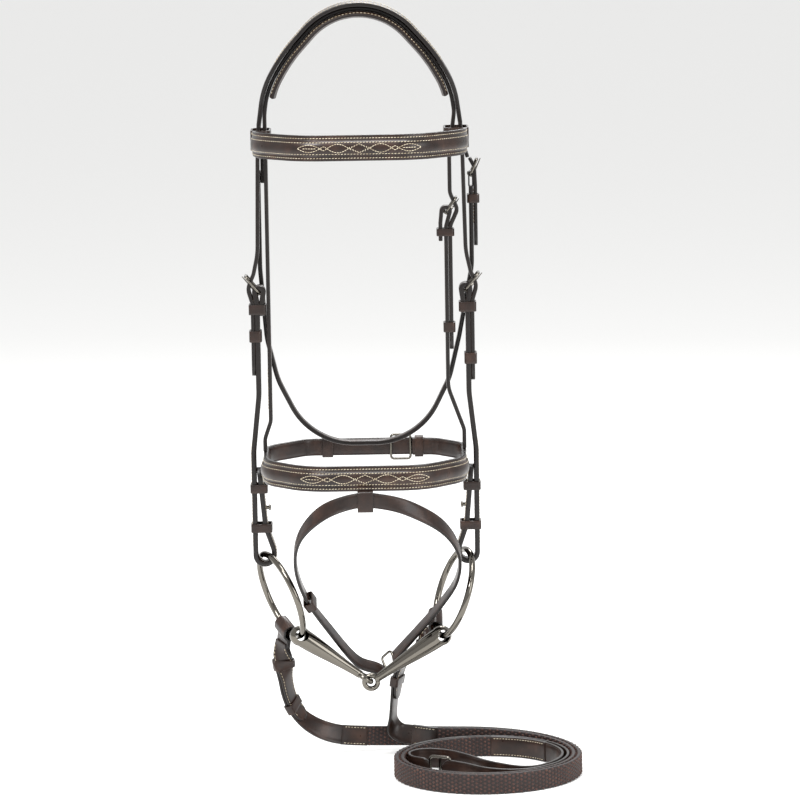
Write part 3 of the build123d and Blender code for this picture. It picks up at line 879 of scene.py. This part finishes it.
# %% Cheekpieces with buckles, tongues, keepers, runners and hook studs
OUTER_X = 89.1                          # the cheekpiece's outer run, beside the ring
wire_x = RING_X + RING_R * sin(RING_TILT)
wire_z = RING_Z + RING_R * cos(RING_TILT)
turn = OUTER_X - wire_x
CHEEK = [(80.4, -236.0), (80.4, -227.0), (78.4, -213.1), (86.4, -213.1), (84.0, -227.0), (84.0, -300.0),
         (OUTER_X, -345.0), (OUTER_X, wire_z - turn), (wire_x - turn, wire_z - turn), (wire_x - turn, -425.0),
         (80.8, -406.0), (85.1, -358.0)]
for side, run_z in ((-1, -252.0), (1, -272.0)):
    name = SIDES[side]
    line = run_xz(CHEEK, [8, 3.3, 3.3, 8, 60, 50, turn - 0.02, turn - 0.02, 12, 20], 0.0, side)
    cheek = strap(f"{name} cheekpiece", line, CHEEK_WIDE, 4.0, tips=(2, 10), step=1.0)
    bar, far = (side * 82.4, 0, -216.4), (side * 92.8, 0, -203.8)
    cut(cheek, (side * 86.9, 0, -215.4), (9, 3.3, 16))
    dress(cheek, HAVANA, f"{name}_cheekpiece")
    marks = [m for k in (-1, 1) for m in row_of(36, 70, k * 4.7, 2.08) + row_of(152, 236, k * 4.7, 2.08)
             + row_of(line.length - 76, line.length - 6, k * 4.7, 2.08)]
    dress(stitching(f"{name} cheek stitching", line, marks), None, body="bridle")
    dress(buckle(f"{name} cheek buckle", bar, far, 14.5, 0.98), STEEL, f"{name}_cheek_buckle")
    dress(prong(f"{name} cheek tongue", bar, far, 1.5), STEEL, f"{name}_cheek_tongue")
    keepers = [band("keeper", upright(side * (lo + hi) / 2, 0, z, side), MIDWAY, (13.4, hi - lo), height)
               for lo, hi, z, height in ((78.0, 89.4, -230.5, 8.0), (79.6, 91.15, -375.0, 7.0),
                                         (76.5, 91.15, -407.0, 7.0))]
    dress(merge(f"{name} cheek keepers", keepers), HAVANA, f"{name}_cheek_keepers")
    dress(band(f"{name} cheek runner", upright(side * 85.675, 0, run_z, side), MIDWAY, (13.4, 7.45), 9.0),
          HAVANA, f"{name}_cheek_runner")
    stud = straight((side * 81.6, 0, -391.0), (side * 77.2, 0, -391.0), (0, 1, 0))
    dress(lathe(f"{name} hook stud", stud, [(0, 0), (0, 1.5), (3.6, 1.5), (3.9, 2.5), (4.6, 2.6), (5.3, 2.0),
                                            (5.6, 0)], 24), STEEL, f"{name}_hook_stud")
print("cheekpiece", round(line.length), "mm of leather")

# %% [markdown]
# ## Throatlash
# It hangs in a long curve behind the cheeks. On the near side it buckles to the rear strap of the headpiece;
# on the off side its end is rounded and sewn to that strap, and it turns there as a fold of leather would.

# %% Throatlash, its buckle, tail and keeper
half = [(88.0, -136.0), (88.0, -200.0), (77.2, -256.0), (69.0, -290.0), (53.0, -322.0), (28.0, -342.0)]
off_half = [(81.5, -136.0), (81.5, -200.0)] + half[2:]
throat_line = run_xz(half + [(-x, z) for x, z in reversed(off_half)], both_ways([55, 55, 60, 55, 60]),
                     THROAT_Y)
dress(strap("throatlash strap", throat_line, SLIM, STOUT, start=-0.2, end=throat_line.length + 15.0,
            tips=(0, 5)), HAVANA, "throatlash_strap")
throat_rows = [m for k in (-1, 1) for m in row_of(2, 30, k * 3.5, 1.78)
               + row_of(throat_line.length - 30, throat_line.length - 2, k * 3.5, 1.78)]
dress(stitching("throatlash stitching", throat_line, throat_rows), None, body="throatlash")
bar, far = (88.0, THROAT_Y, -126.0), (93.0, THROAT_Y, -114.5)
fold_line = run_xz([(86.45, -136.2), (86.45, -124.45), (89.55, -124.45), (89.55, -136.2)], [1.5, 1.5],
                   THROAT_Y)
fold = strap("fold", fold_line, SLIM, 1.1, [(0, 0), (0.8, 0), (1, 0)], step=0.7)
cut(fold, (90.1, THROAT_Y, -126.2), (3.5, 3.0, 8))
fold.data.materials.append(HAVANA)
frame_bar = buckle("frame", bar, far, 11.5, 1.0)
frame_bar.data.materials.append(STEEL)
both = merge("near throatlash buckle", [fold, frame_bar])
dress(both, None, "near_throatlash_buckle")
dress(prong("near throatlash tongue", bar, far, 1.5), STEEL, "near_throatlash_tongue")
tail_line = run_xz([(87.2, -113.8), (90.9, -121.0), (91.55, -136.0), (91.55, -184.0)], [10, 30], THROAT_Y)
tail = strap("near throatlash tail", tail_line, SLIM, 2.8, tips=(0, 8))
cut(tail, (91.0, THROAT_Y, -119.0), (9, 2.8, 12))
dress(tail, HAVANA, "near_throatlash_tail")
dress(band("near throatlash keeper", upright(89.68, THROAT_Y, -146.0), MIDWAY, (10.7, 7.45), 7.0),
      HAVANA, "near_throatlash_keeper")
print("throatlash", round(throat_line.length), "mm")

# %% [markdown]
# ## Flash strap
# A loop stitched under the noseband carries a thin strap that goes down round the mouth. It twists as it
# goes, so each station of its line has its own width direction, and the line is a smooth curve through all.

# %% Flash loop, strap, keeper and buckle
FLASH = [((25.0, 12.0, -513.0), (0, 0.8, 0.6)), ((42.0, 1.0, -492.0), (0, 0.9, 0.5)),
         ((60.0, -14.0, -468.0), (0, 1.0, 0.35)), ((72.0, -32.0, -445.0), (0, 1.0, 0.25)),
         ((73.0, -50.0, -420.0), (0, 0.95, 0.5)), ((60.0, -68.0, -397.0), (0, 0.6, 0.8)),
         ((34.0, -80.0, -380.0), (0, 0.2, 1.0)), ((10.0, -84.0, -373.0), (0, 0, 1)),
         ((-10.0, -84.0, -373.0), (0, 0, 1)), ((-34.0, -78.0, -383.0), (0, 0.3, 1.0)),
         ((-52.0, -62.0, -404.0), (0, 0.8, 0.6)), ((-56.5, -44.0, -430.0), (0, 1.0, 0.25)),
         ((-49.0, -24.0, -460.0), (0, 1.0, 0.3)), ((-30.0, -4.0, -492.0), (0, 0.9, 0.5)),
         ((-10.0, 12.0, -520.0), (0, 0.8, 0.6)), ((6.0, 17.0, -528.0), (0, 0.8, 0.6))]


def station_route(stations, line):
    """A route whose width turns between the directions given at its stations."""
    points = np.array([p for p, _ in stations])
    marks = np.concatenate([[0], np.cumsum(np.linalg.norm(np.diff(points, axis=0), axis=1))])
    table = np.array([w for _, w in stations], dtype=float)
    return Route(line, lambda t: [np.interp(t * marks[-1], marks, table[:, k]) for k in range(3)])


flash_line = station_route(FLASH, spline([p for p, _ in FLASH]))
dress(strap("flash strap", flash_line, 12.0, 2.6, start=-9.0, end=flash_line.length + 9.0, tips=(0, 8)),
      HAVANA, "flash_strap")
loop_run = straight((-MIDWAY, -84.0, -373.0), (MIDWAY, -84.0, -373.0), (0, 0, 1))
dress(band("flash loop", loop_run, MIDWAY, (14.6, 7.0), 12.3, 1.2), HAVANA, "flash_loop")
keeper_z = Vector((0.46, 0.47, -0.75)).normalized()
keeper_at = Vector((-46.0, -20.8, -465.0))
keeper_run = straight(keeper_at - keeper_z * MIDWAY, keeper_at + keeper_z * MIDWAY, (0, 1.0, 0.55))
dress(band("flash keeper", keeper_run, MIDWAY, (13.7, 6.0), 8.0), HAVANA, "flash_keeper")
lie_x, lie_z = Vector((0.68, -0.33, 0.65)).normalized(), Vector((0.62, 0.62, -0.33)).normalized()
lie_y = lie_z.cross(lie_x).normalized()
at = Vector((16.5, 16.0, -522.5))
dress(buckle("flash buckle", at - lie_x * 5.4, at + lie_x * 5.4, 13.0, 1.05, lie_y), STEEL, "flash_buckle")
print("flash strap", round(flash_line.length), "mm")

# %% [markdown]
# ## The bit
# Two round rings and a mouthpiece with one joint. The cannons are turned, thick at the ring and slender at
# the middle, and drilled where the ring passes through. The hole widens to both sides, because the ring is
# curved. Each cannon ends in a small link, and the two links stand across each other.

# %% Rings and cannons
def ring_frame(side):
    """Centre, top direction and front direction of a bit ring."""
    top = Vector((side * sin(RING_TILT), 0, cos(RING_TILT)))
    front = Vector((sin(RING_YAW[side]), -cos(RING_YAW[side]), 0))
    return Vector((side * RING_X, 0, RING_Z)), top, (front - top * front.dot(top)).normalized()


def on_ring(side, turned):
    """A place on the wire, in degrees forward of the lowest point, and the wire's direction there."""
    centre, top, front = ring_frame(side)
    c, s = cos(radians(turned)), sin(radians(turned))
    return centre + (front * s - top * c) * RING_R, front * c + top * s


def placed(obj, origin, x_way, z_way):
    """Turn a piece made at the origin to its place."""
    z = Vector(z_way).normalized()
    x = (Vector(x_way) - z * Vector(x_way).dot(z)).normalized()
    turned = Matrix((x, z.cross(x), z)).transposed()
    return move_to(obj, coords(obj) @ np.array(turned).T + np.array(origin))


holes = {side: on_ring(side, EYE_TURN)[0] for side in SIDES}
mid = (holes[-1] + holes[1]) / 2
joint = mid - Vector((0, 0, sqrt(CANNON ** 2 - ((holes[1] - holes[-1]).length / 2) ** 2)))
BALL_R, WAIST_R = 8.2, 3.3              # a cannon's ball at the ring and its waist at the link
for side in SIDES:
    name = SIDES[side]
    centre, top, front = ring_frame(side)
    ring = primitive("torus", f"{name} ring", major_radius=RING_R, minor_radius=WIRE, major_segments=112,
                     minor_segments=24)
    dress(smooth(placed(ring, centre, top, top.cross(front)), 80), STEEL, f"{name}_ring")
    hole, wire = on_ring(side, EYE_TURN)
    inward = (joint - hole).normalized()
    to_link = CANNON if side > 0 else CANNON - LINK_R
    level = Vector((0, 1, 0))
    ball = [(-BALL_R * cos(a), BALL_R * sin(a)) for a in np.linspace(0, pi * 0.62, 16)]
    neck, thick = ball[-1]
    end = to_link - 5.0
    taper = [(neck + (end - neck) * t, thick + (WAIST_R - thick) * (t * t * (3 - 2 * t) * 0.8 + t * 0.2))
             for t in np.linspace(0.06, 1, 18)]
    cannon = lathe("cannon", straight(hole, hole + inward * 10, level),
                   ball + taper + [(end + 1.2, 2.4), (end + 1.4, 0)], 48)
    flare = [(d, 4.0 + 0.03 * abs(d - 10) ** 2) for d in np.linspace(-4, 24, 21)]
    take_out(cannon, lathe("bore", straight(hole - wire * 10, hole + wire * 10, level),
                           [(-4, 0)] + flare + [(24, 0)], 40))
    link_at = hole + inward * to_link
    link_pin = level if side > 0 else inward.cross(level)
    link = primitive("torus", "link", major_radius=LINK_R, minor_radius=2.1, major_segments=40,
                     minor_segments=16)
    placed(link, link_at, inward, link_pin)
    take_out(cannon, lathe("eye room", straight(link_at - link_pin * 10, link_at + link_pin * 10, inward),
                           [(0, 0), (0, 3.3), (20, 3.3), (20, 0)], 32))
    dress(smooth(merge(f"{name} cannon", [cannon, link]), 40), STEEL, f"{name}_cannon")
print("mouthpiece joint", [round(v, 1) for v in joint])

# %% [markdown]
# ## Reins
# Each rein is folded round its ring, doubled for the first part by its billet, then covered in pimpled rubber
# for the rider's hand, then plain leather to the buckle in the middle. They lie coiled on edge on the floor,
# so their lines are smooth curves: the hanging part and the ends follow chosen points, and a loop works out
# the coil, turn by turn, at twelve points each.

# %% Rein lines
ON_EDGE = -598.0
COIL = Vector((93.0, -25.0, ON_EDGE))
COIL_A, COIL_B = 76.0, 72.0             # half the coil's width and depth
LEADS = {-1: [((-71.0, 33.0, -540.0), (0.6, 1, 0.2)), ((-61.0, 41.0, -571.0), (0.3, 0.8, 0.5)),
              ((-34.0, 49.0, -590.0), (0.2, 0.4, 0.9)), ((0.0, 55.0, -593.0), (0, 0, 1)),
              ((30.0, 58.0, -594.0), (0, 0, 1))],
         1: [((38.0, 38.0, -516.0), (0.4, 0.9, 0.3)), ((23.0, 43.0, -533.0), (0.4, 0.9, 0.1)),
             ((20.0, 46.0, -562.0), (0.3, 0.9, 0.1)), ((18.0, 48.0, -589.0), (0.2, 0.3, 0.9)),
             ((40.0, 47.0, -591.0), (0, 0, 1))]}
ENDS = {-1: [(93.0, -76.5, ON_EDGE), (77.0, -58.0, ON_EDGE), (66.0, -48.5, ON_EDGE), (57.5, -44.6, ON_EDGE)],
        1: [(92.0, -50.0, ON_EDGE), (80.0, -29.0, ON_EDGE), (62.0, -8.0, ON_EDGE), (42.0, -3.0, ON_EDGE),
            (31.0, -14.0, ON_EDGE), (32.0, -29.0, ON_EDGE), (41.0, -37.0, ON_EDGE), (48.5, -40.5, ON_EDGE)]}


def coil_points(side):
    """Twelve points a turn, clockwise; the second turn of each rein lies inside both first ones,
    and a rein reaches the floor only after its first third of a turn."""
    first, last = (115, -435) if side < 0 else (120, -420)
    points = []
    for phi in range(first, last - 1, -30):
        t = min(max((-phi - 130) / 110, 0), 1)
        inset = 2.4 + 4.4 * ((0 if side < 0 else 1) + 2 * t * t * (3 - 2 * t))
        raised = max(0.0, (phi + 5) / 130) ** 1.5
        reach = 1.058 * (1 + 0.05 * raised)
        points.append(COIL + Vector((reach * (COIL_A - inset) * cos(radians(phi)),
                                     reach * (COIL_B - inset) * sin(radians(phi)), 7.0 * raised)))
    return points


def nurbs_line(points):
    """The smooth line of order three drawn by these points."""
    curve = bpy.data.curves.new("line", "CURVE")
    curve.dimensions = "3D"
    part = curve.splines.new("NURBS")
    part.points.add(len(points) - 1)
    for point, p in zip(part.points, points):
        point.co = (*p, 1)
    part.order_u = 3
    part.use_endpoint_u = True
    part.resolution_u = 12
    obj = add("line", curve)
    mesh = bpy.data.meshes.new_from_object(obj)
    line = [v.co.copy() for v in mesh.vertices]
    bpy.data.objects.remove(obj)
    return line


print("points in the coil:", len(coil_points(-1)), "off,", len(coil_points(1)), "near")


# %% [markdown]
# The grip has more than a thousand small rubber domes in offset rows on both faces. They are one template,
# copied in the strap's flat coordinates and laid with it. The grip between them is painted darker, as painted
# shade in the recesses.

# %% Reins, their rubber, covers, billets and loops
RUBBER_PART = {-1: (130.0, 610.0), 1: (136.0, 600.0)}
REIN_TURN = -36.0                       # the rein's place on the ring: degrees behind the lowest point
LOOP = ((-1.0, 17.0), (-1.0, 8.5), (-5.0, 4.0), (-5.0, -5.0),
        (5.0, -5.0), (5.0, 4.0), (1.0, 8.5), (1.0, 17.0))
LOOP_BENDS = [5, 3, 4.98, 4.98, 3, 5]
DOME_PITCH, ROW_PITCH = 3.2, 3.1
reins = {}
for side in SIDES:
    name = SIDES[side]
    place, wire = on_ring(side, REIN_TURN)
    down = Vector((0, 0.25, -1))
    down = (down - wire * down.dot(wire)).normalized()
    across = wire.cross(down)
    loop_line = Route(bend([place + down * d + across * a for a, d in LOOP], LOOP_BENDS, 0.8), tuple(wire))
    dress(strap(f"{name} rein loop", loop_line, REIN_WIDE, 1.9, [(0, 0.05), (0.8, 0), (0.86, -0.12), (1, 0)],
                step=1.0), HAVANA, f"{name}_rein_loop")
    exit_at = place + down * 17.02
    stations = [(tuple(exit_at), tuple(wire))] + LEADS[side]
    stations += [(tuple(p), (0, 0, 1)) for p in coil_points(side) + ENDS[side]]
    line = station_route(stations, nurbs_line([p for p, _ in stations]))
    start, stop = RUBBER_PART[side]
    leather_parts = [strap("core", line, REIN_WIDE, 2.4, step=3.0, tips=(0, 7)),
                     strap("billet", line, 15.6, 2.0, start=-2.0, end=72.0, lift=2.4, tips=(0, 9)),
                     strap("cover", line, 16.4, 4.0, start=start - 22, end=start),
                     strap("cover", line, 16.4, 4.0, start=stop, end=stop + 52),
                     band("keeper", line, 18.0, (16.4, 4.9), 8.0, 1.3, (0, 1.1)),
                     band("keeper", line, 56.0, (16.4, 4.9), 8.0, 1.3, (0, 1.1))]
    for part in leather_parts:
        part.data.materials.append(HAVANA)
    grip = strap("grip", line, 16.2, 2.9, [(0, 0), (0.9, 0), (1, -0.2)], start=start, end=stop, step=3.0)
    # Painted shade: the whole grip is marked 1, so it is coloured near black between the domes, and only the
    # domes show the rubber's tone.
    grip.data.attributes["rim"].data.foreach_set("value", np.ones(len(grip.data.vertices)))
    domes = [(start + (i + 0.5) * DOME_PITCH, (j - 2) * ROW_PITCH + (0.75 if i % 2 else -0.75), face * 1.4, 0,
              face < 0)
             for i in range(int((stop - start) / DOME_PITCH)) for j in range(5) for face in (-1, 1)]
    domes = copies("domes", "pimple", domes, (1.2, 1.15, 1.05))
    move_to(domes, line.lay(coords(domes)))
    for part in (grip, domes):
        part.data.materials.append(RUBBER)
    marks = []
    for k in (-1, 1):
        marks += row_of(2, 64, k * 6.3, 3.5)
        for face in (-1, 1):
            marks += row_of(start - 20, start - 2, k * 6.6, face * 2.05, flip=face < 0)
            marks += row_of(stop + 2, stop + 50, k * 6.6, face * 2.05, flip=face < 0)
    sewn = stitching("sewn", line, marks)
    rein = merge(f"{name} rein", [grip, domes, sewn] + leather_parts)
    dress(rein, None, f"{name}_rein_lead", *(("rein_coil",) if side < 0 else ()))
    reins[side] = (rein, line, exit_at)
    print(name, "rein", round(line.length), "mm long,", len(rein.data.polygons), "faces")

middle = Vector((56.0, -44.0, -597.0))
way = Vector((cos(radians(-25)), sin(radians(-25)), 0))
frame_part = buckle("frame", middle - way * 8.6, middle + way * 8.6, 15.4, 1.2, (0, 0, 1))
cross_part = rod("cross", [middle - Vector((0, 0, 7.8)), middle + Vector((0, 0, 7.8))], [], 1.1)
dress(merge("rein buckle", [frame_part, cross_part]), STEEL, "rein_buckle")
for side, far_end in ((-1, "fitting"), (1, "object")):
    rein, line, exit_at = reins[side]

# %% [markdown]
# ## Camera, floor and light
# The bridle is seen from the front with a long lens. The light is soft and comes from all sides, as on a
# product table, and four panels draw highlights along the waxed leather and the steel.

# %% Studio
MIDDLE = (0, 0, -0.3)                   # metres from here on
floor = primitive("plane", "floor", size=60.0)
floor.location = (0.0, 0.0, -0.6065)
pale, tree, shader = new_material("pale floor")
shader.inputs["Base Color"].default_value = srgb("#fbfbfa")
shader.inputs["Roughness"].default_value = 0.9
shader.inputs["Specular IOR Level"].default_value = 0.1
floor.data.materials.append(pale)

world = bpy.data.worlds.new("studio")
bpy.context.scene.world = world
world.use_nodes = True
world.node_tree.nodes["Background"].inputs["Color"].default_value = srgb("#ffffff")
world.node_tree.nodes["Background"].inputs["Strength"].default_value = 0.85


def panel(name, place, target, size, watts):
    """A square soft light aimed at a point."""
    light = bpy.data.lights.new(name, "AREA")
    light.size = size
    light.energy = watts
    obj = add(name, light)
    obj.location = place
    obj.rotation_euler = (Vector(target) - Vector(place)).to_track_quat("-Z", "Y").to_euler()


panel("key", (-0.7, -1.3, 1.1), MIDDLE, 0.7, 34)
panel("fill", (1.3, -1.3, 0.2), MIDDLE, 1.0, 12)
panel("top", (0.1, -0.3, 1.5), MIDDLE, 0.7, 22)
panel("back", (0.2, 1.4, 0.9), MIDDLE, 0.8, 14)

camera = bpy.data.cameras.new("camera")
camera.lens = 178.3
camera.sensor_width = 36.0
view = add("camera", camera)
view.location = (0.0147, -3.1373, 0.1543)
aim = (Vector((0.0287, 0.0, -0.30565)) - view.location).to_track_quat("-Z", "Y")
view.rotation_euler = (aim.to_matrix() @ Matrix.Rotation(-0.0159, 3, "Z")).to_euler()
bpy.context.scene.camera = view
bpy.context.scene.view_settings.view_transform = "Standard"
print("camera lens", round(camera.lens, 1), "mm,", round(view.location.length, 2), "m from the poll")
